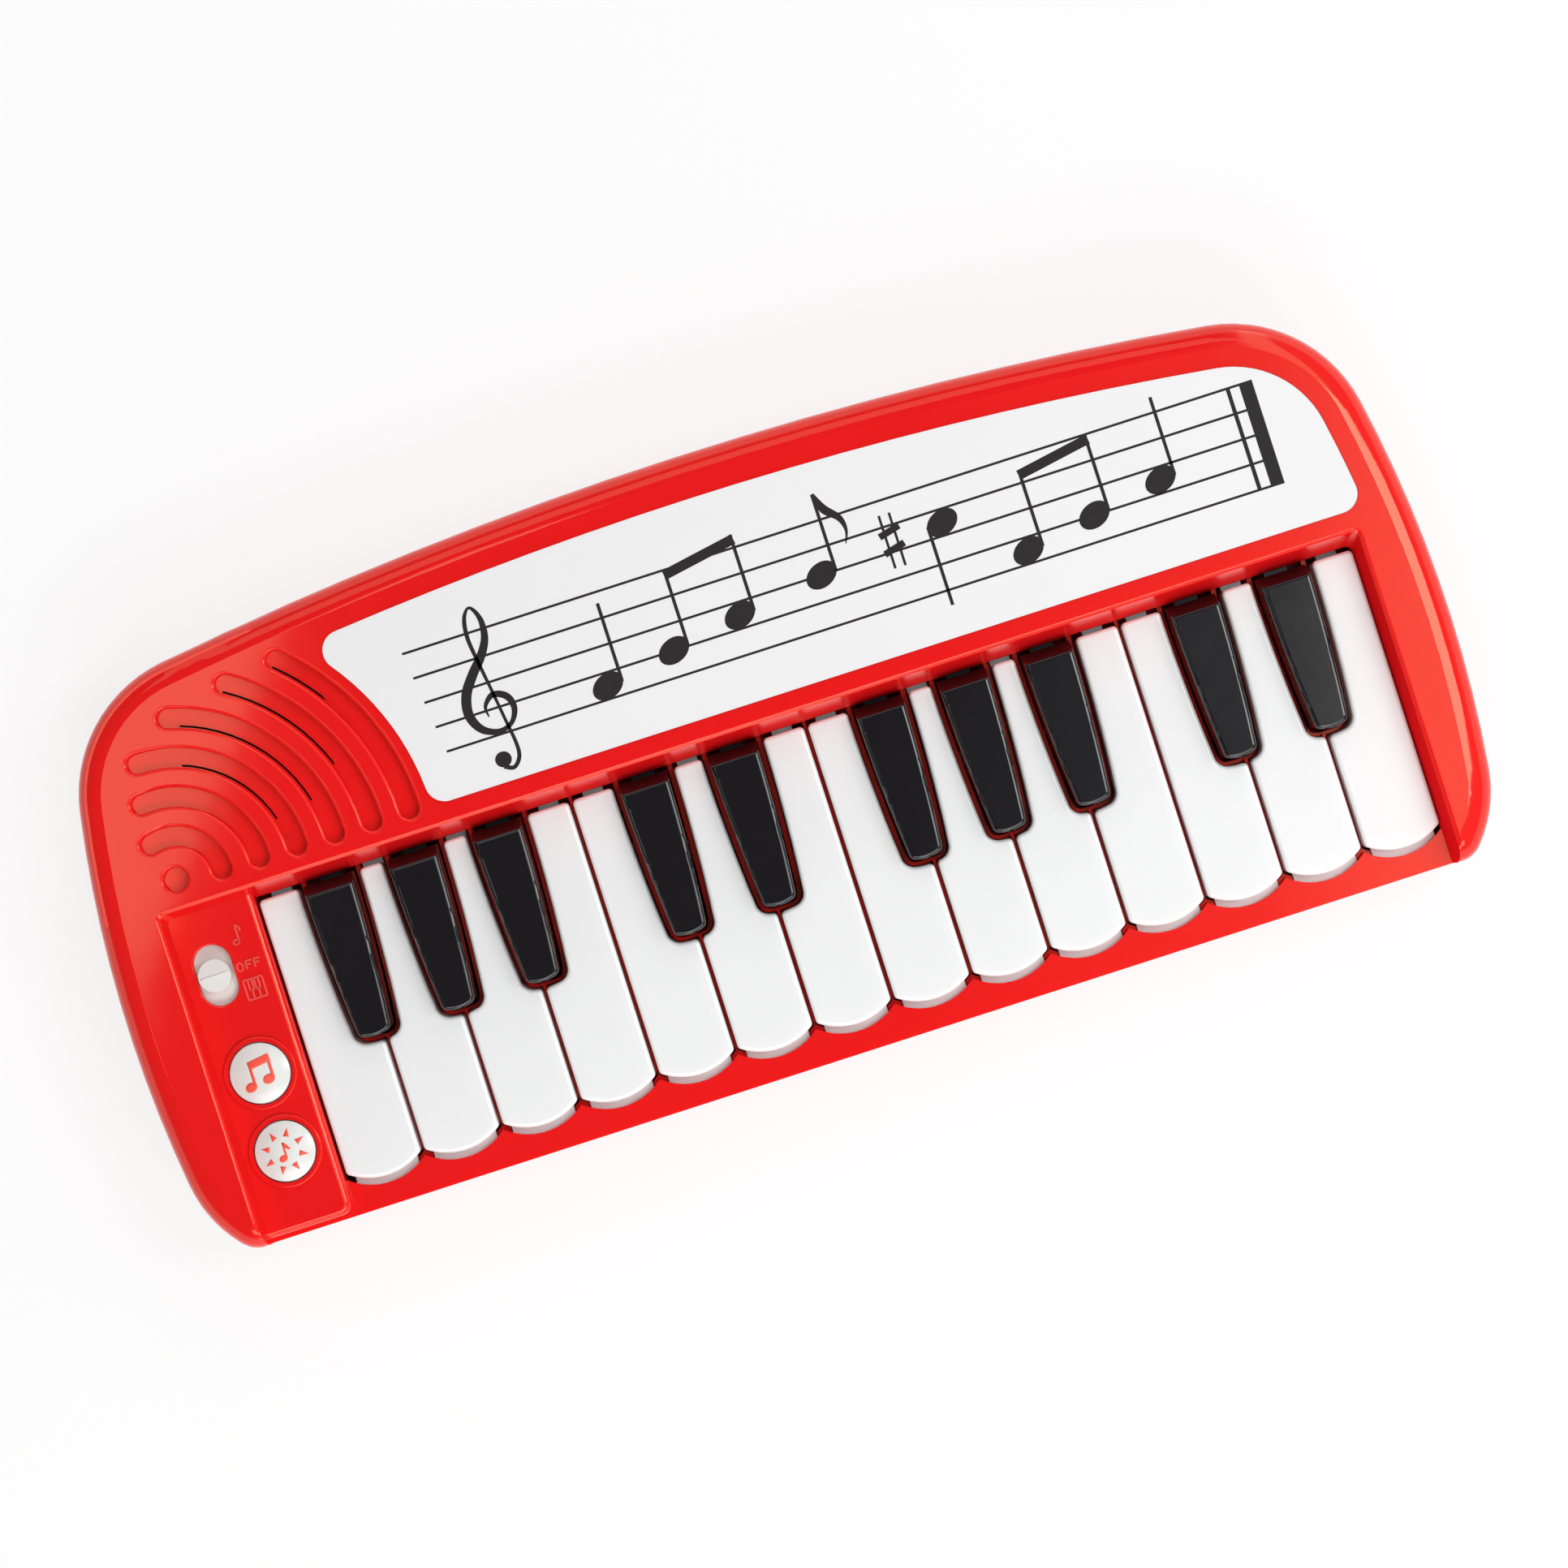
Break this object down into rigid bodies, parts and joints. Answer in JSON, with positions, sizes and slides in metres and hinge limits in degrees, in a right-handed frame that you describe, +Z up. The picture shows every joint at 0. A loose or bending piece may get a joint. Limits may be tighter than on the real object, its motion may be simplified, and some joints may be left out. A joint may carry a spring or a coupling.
{
  "type": "toy piano",
  "caption": "Battery toy piano: red moulded case with a flat row of white and black sprung keys on one pivot rod, push buttons, a slide switch and a speaker grille.",
  "frame": {"origin": "middle of the footprint, on the table under the rubber feet", "axes": "+X along the keys to the treble end, +Y to the back, +Z up"},
  "size_m": [0.341, 0.154, 0.036],
  "materials": {
    "red_case": "glossy moulded ABS",
    "label_sheet": "printed satin film",
    "rubber_feet": "soft moulded rubber",
    "screw_steel": "zinc plated",
    "battery_cell": "plain sleeved can",
    "contact_plate": "nickel plated spring steel",
    "wire_insulation": "soft insulation",
    "white_key": "glossy moulded ABS",
    "black_key": "glossy moulded ABS",
    "circuit_board": "phenolic board",
    "silicone_dome": "translucent silicone",
    "chip_resin": "resin",
    "switch_body": "moulded",
    "white_control": "glossy moulded ABS",
    "speaker_steel": "pressed and painted",
    "speaker_paper": "pressed paper",
    "speaker_magnet": "sintered ferrite"
  },
  "bodies": {
    "case": {"upper_case": "red_case", "lower_case": "red_case", "panel_label": "label_sheet", "rubber_feet": "rubber_feet", "case_screws": "screw_steel", "key_board_screws": "screw_steel", "control_board_screws": "screw_steel", "speaker_screws": "screw_steel", "key_pivot_rod": "screw_steel", "battery_cells": "battery_cell", "battery_leaf_contacts": "contact_plate", "battery_plate_contacts": "contact_plate", "battery_wires": "wire_insulation", "speaker_wires": "wire_insulation", "board_ribbon": "wire_insulation", "key_board": "circuit_board", "control_board": "circuit_board", "key_domes_bass": "silicone_dome", "key_domes_treble": "silicone_dome", "button_domes": "silicone_dome", "sound_chip": "chip_resin", "switch_body": "switch_body", "speaker_frame": "speaker_steel", "speaker_cone": "speaker_paper", "speaker_magnet": "speaker_magnet"},
    "white_key_01": {"white_key_01": "white_key"},
    "white_key_02": {"white_key_02": "white_key"},
    "white_key_03": {"white_key_03": "white_key"},
    "white_key_04": {"white_key_04": "white_key"},
    "white_key_05": {"white_key_05": "white_key"},
    "white_key_06": {"white_key_06": "white_key"},
    "white_key_07": {"white_key_07": "white_key"},
    "white_key_08": {"white_key_08": "white_key"},
    "white_key_09": {"white_key_09": "white_key"},
    "white_key_10": {"white_key_10": "white_key"},
    "white_key_11": {"white_key_11": "white_key"},
    "white_key_12": {"white_key_12": "white_key"},
    "white_key_13": {"white_key_13": "white_key"},
    "white_key_14": {"white_key_14": "white_key"},
    "black_key_01": {"black_key_01": "black_key"},
    "black_key_02": {"black_key_02": "black_key"},
    "black_key_03": {"black_key_03": "black_key"},
    "black_key_04": {"black_key_04": "black_key"},
    "black_key_05": {"black_key_05": "black_key"},
    "black_key_06": {"black_key_06": "black_key"},
    "black_key_07": {"black_key_07": "black_key"},
    "black_key_08": {"black_key_08": "black_key"},
    "black_key_09": {"black_key_09": "black_key"},
    "black_key_10": {"black_key_10": "black_key"},
    "switch_knob": {"switch_knob": "white_control"},
    "melody_button": {"melody_button": "white_control"},
    "effect_button": {"effect_button": "white_control"},
    "battery_door": {"battery_door": "red_case", "battery_door_screw": "screw_steel"}
  },
  "joints": [
    {"name": "white_key_01_press", "type": "hinge", "parent": "case", "child": "white_key_01", "pos_m": [-0.12557, 0.018, 0.017], "axis": [1, 0, 0], "range_deg": [0, 2.7], "stiffness_Nm_per_rad": 0.5, "springref_deg": -1.72, "deforming": ["key_domes_bass"]},
    {"name": "white_key_02_press", "type": "hinge", "parent": "case", "child": "white_key_02", "pos_m": [-0.10171, 0.018, 0.017], "axis": [1, 0, 0], "range_deg": [0, 2.7], "stiffness_Nm_per_rad": 0.5, "springref_deg": -1.72, "deforming": ["key_domes_bass"]},
    {"name": "white_key_03_press", "type": "hinge", "parent": "case", "child": "white_key_03", "pos_m": [-0.08001, 0.018, 0.017], "axis": [1, 0, 0], "range_deg": [0, 2.7], "stiffness_Nm_per_rad": 0.5, "springref_deg": -1.72, "deforming": ["key_domes_bass"]},
    {"name": "white_key_04_press", "type": "hinge", "parent": "case", "child": "white_key_04", "pos_m": [-0.05584, 0.018, 0.017], "axis": [1, 0, 0], "range_deg": [0, 2.7], "stiffness_Nm_per_rad": 0.5, "springref_deg": -1.72, "deforming": ["key_domes_bass"]},
    {"name": "white_key_05_press", "type": "hinge", "parent": "case", "child": "white_key_05", "pos_m": [-0.04427, 0.018, 0.017], "axis": [1, 0, 0], "range_deg": [0, 2.7], "stiffness_Nm_per_rad": 0.5, "springref_deg": -1.72, "deforming": ["key_domes_bass"]},
    {"name": "white_key_06_press", "type": "hinge", "parent": "case", "child": "white_key_06", "pos_m": [-0.01961, 0.018, 0.017], "axis": [1, 0, 0], "range_deg": [0, 2.7], "stiffness_Nm_per_rad": 0.5, "springref_deg": -1.72, "deforming": ["key_domes_bass"]},
    {"name": "white_key_07_press", "type": "hinge", "parent": "case", "child": "white_key_07", "pos_m": [0.00516, 0.018, 0.017], "axis": [1, 0, 0], "range_deg": [0, 2.7], "stiffness_Nm_per_rad": 0.5, "springref_deg": -1.72, "deforming": ["key_domes_bass"]},
    {"name": "white_key_08_press", "type": "hinge", "parent": "case", "child": "white_key_08", "pos_m": [0.01658, 0.018, 0.017], "axis": [1, 0, 0], "range_deg": [0, 2.7], "stiffness_Nm_per_rad": 0.5, "springref_deg": -1.72, "deforming": ["key_domes_treble"]},
    {"name": "white_key_09_press", "type": "hinge", "parent": "case", "child": "white_key_09", "pos_m": [0.04044, 0.018, 0.017], "axis": [1, 0, 0], "range_deg": [0, 2.7], "stiffness_Nm_per_rad": 0.5, "springref_deg": -1.72, "deforming": ["key_domes_treble"]},
    {"name": "white_key_10_press", "type": "hinge", "parent": "case", "child": "white_key_10", "pos_m": [0.06209, 0.018, 0.017], "axis": [1, 0, 0], "range_deg": [0, 2.7], "stiffness_Nm_per_rad": 0.5, "springref_deg": -1.72, "deforming": ["key_domes_treble"]},
    {"name": "white_key_11_press", "type": "hinge", "parent": "case", "child": "white_key_11", "pos_m": [0.08626, 0.018, 0.017], "axis": [1, 0, 0], "range_deg": [0, 2.7], "stiffness_Nm_per_rad": 0.5, "springref_deg": -1.72, "deforming": ["key_domes_treble"]},
    {"name": "white_key_12_press", "type": "hinge", "parent": "case", "child": "white_key_12", "pos_m": [0.09773, 0.018, 0.017], "axis": [1, 0, 0], "range_deg": [0, 2.7], "stiffness_Nm_per_rad": 0.5, "springref_deg": -1.72, "deforming": ["key_domes_treble"]},
    {"name": "white_key_13_press", "type": "hinge", "parent": "case", "child": "white_key_13", "pos_m": [0.12244, 0.018, 0.017], "axis": [1, 0, 0], "range_deg": [0, 2.7], "stiffness_Nm_per_rad": 0.5, "springref_deg": -1.72, "deforming": ["key_domes_treble"]},
    {"name": "white_key_14_press", "type": "hinge", "parent": "case", "child": "white_key_14", "pos_m": [0.14731, 0.018, 0.017], "axis": [1, 0, 0], "range_deg": [0, 2.7], "stiffness_Nm_per_rad": 0.5, "springref_deg": -1.72, "deforming": ["key_domes_treble"]},
    {"name": "black_key_01_press", "type": "hinge", "parent": "case", "child": "black_key_01", "pos_m": [-0.11256, 0.018, 0.017], "axis": [1, 0, 0], "range_deg": [0, 2.7], "stiffness_Nm_per_rad": 0.5, "springref_deg": -1.72, "deforming": ["key_domes_bass"]},
    {"name": "black_key_02_press", "type": "hinge", "parent": "case", "child": "black_key_02", "pos_m": [-0.09086, 0.018, 0.017], "axis": [1, 0, 0], "range_deg": [0, 2.7], "stiffness_Nm_per_rad": 0.5, "springref_deg": -1.72, "deforming": ["key_domes_bass"]},
    {"name": "black_key_03_press", "type": "hinge", "parent": "case", "child": "black_key_03", "pos_m": [-0.06916, 0.018, 0.017], "axis": [1, 0, 0], "range_deg": [0, 2.7], "stiffness_Nm_per_rad": 0.5, "springref_deg": -1.72, "deforming": ["key_domes_bass"]},
    {"name": "black_key_04_press", "type": "hinge", "parent": "case", "child": "black_key_04", "pos_m": [-0.03116, 0.018, 0.017], "axis": [1, 0, 0], "range_deg": [0, 2.7], "stiffness_Nm_per_rad": 0.5, "springref_deg": -1.72, "deforming": ["key_domes_bass"]},
    {"name": "black_key_05_press", "type": "hinge", "parent": "case", "child": "black_key_05", "pos_m": [-0.00806, 0.018, 0.017], "axis": [1, 0, 0], "range_deg": [0, 2.7], "stiffness_Nm_per_rad": 0.5, "springref_deg": -1.72, "deforming": ["key_domes_bass"]},
    {"name": "black_key_06_press", "type": "hinge", "parent": "case", "child": "black_key_06", "pos_m": [0.02964, 0.018, 0.017], "axis": [1, 0, 0], "range_deg": [0, 2.7], "stiffness_Nm_per_rad": 0.5, "springref_deg": -1.72, "deforming": ["key_domes_treble"]},
    {"name": "black_key_07_press", "type": "hinge", "parent": "case", "child": "black_key_07", "pos_m": [0.05124, 0.018, 0.017], "axis": [1, 0, 0], "range_deg": [0, 2.7], "stiffness_Nm_per_rad": 0.5, "springref_deg": -1.72, "deforming": ["key_domes_treble"]},
    {"name": "black_key_08_press", "type": "hinge", "parent": "case", "child": "black_key_08", "pos_m": [0.07294, 0.018, 0.017], "axis": [1, 0, 0], "range_deg": [0, 2.7], "stiffness_Nm_per_rad": 0.5, "springref_deg": -1.72, "deforming": ["key_domes_treble"]},
    {"name": "black_key_09_press", "type": "hinge", "parent": "case", "child": "black_key_09", "pos_m": [0.11074, 0.018, 0.017], "axis": [1, 0, 0], "range_deg": [0, 2.7], "stiffness_Nm_per_rad": 0.5, "springref_deg": -1.72, "deforming": ["key_domes_treble"]},
    {"name": "black_key_10_press", "type": "hinge", "parent": "case", "child": "black_key_10", "pos_m": [0.13414, 0.018, 0.017], "axis": [1, 0, 0], "range_deg": [0, 2.7], "stiffness_Nm_per_rad": 0.5, "springref_deg": -1.72, "deforming": ["key_domes_treble"]},
    {"name": "melody_button_press", "type": "slide", "parent": "case", "child": "melody_button", "axis": [0, 0, -1], "range_m": [0, 0.0015], "stiffness_N_per_m": 250, "springref_m": -0.002, "deforming": ["button_domes"]},
    {"name": "effect_button_press", "type": "slide", "parent": "case", "child": "effect_button", "axis": [0, 0, -1], "range_m": [0, 0.0015], "stiffness_N_per_m": 250, "springref_m": -0.002, "deforming": ["button_domes"]},
    {"name": "switch_slide", "type": "slide", "parent": "case", "child": "switch_knob", "axis": [0, 1, 0], "range_m": [-0.003, 0.003]},
    {"name": "battery_door_swing", "type": "hinge", "parent": "case", "child": "battery_door", "pos_m": [0.02, 0.069, 0.003], "axis": [1, 0, 0], "range_deg": [0, 70]}
  ]
}
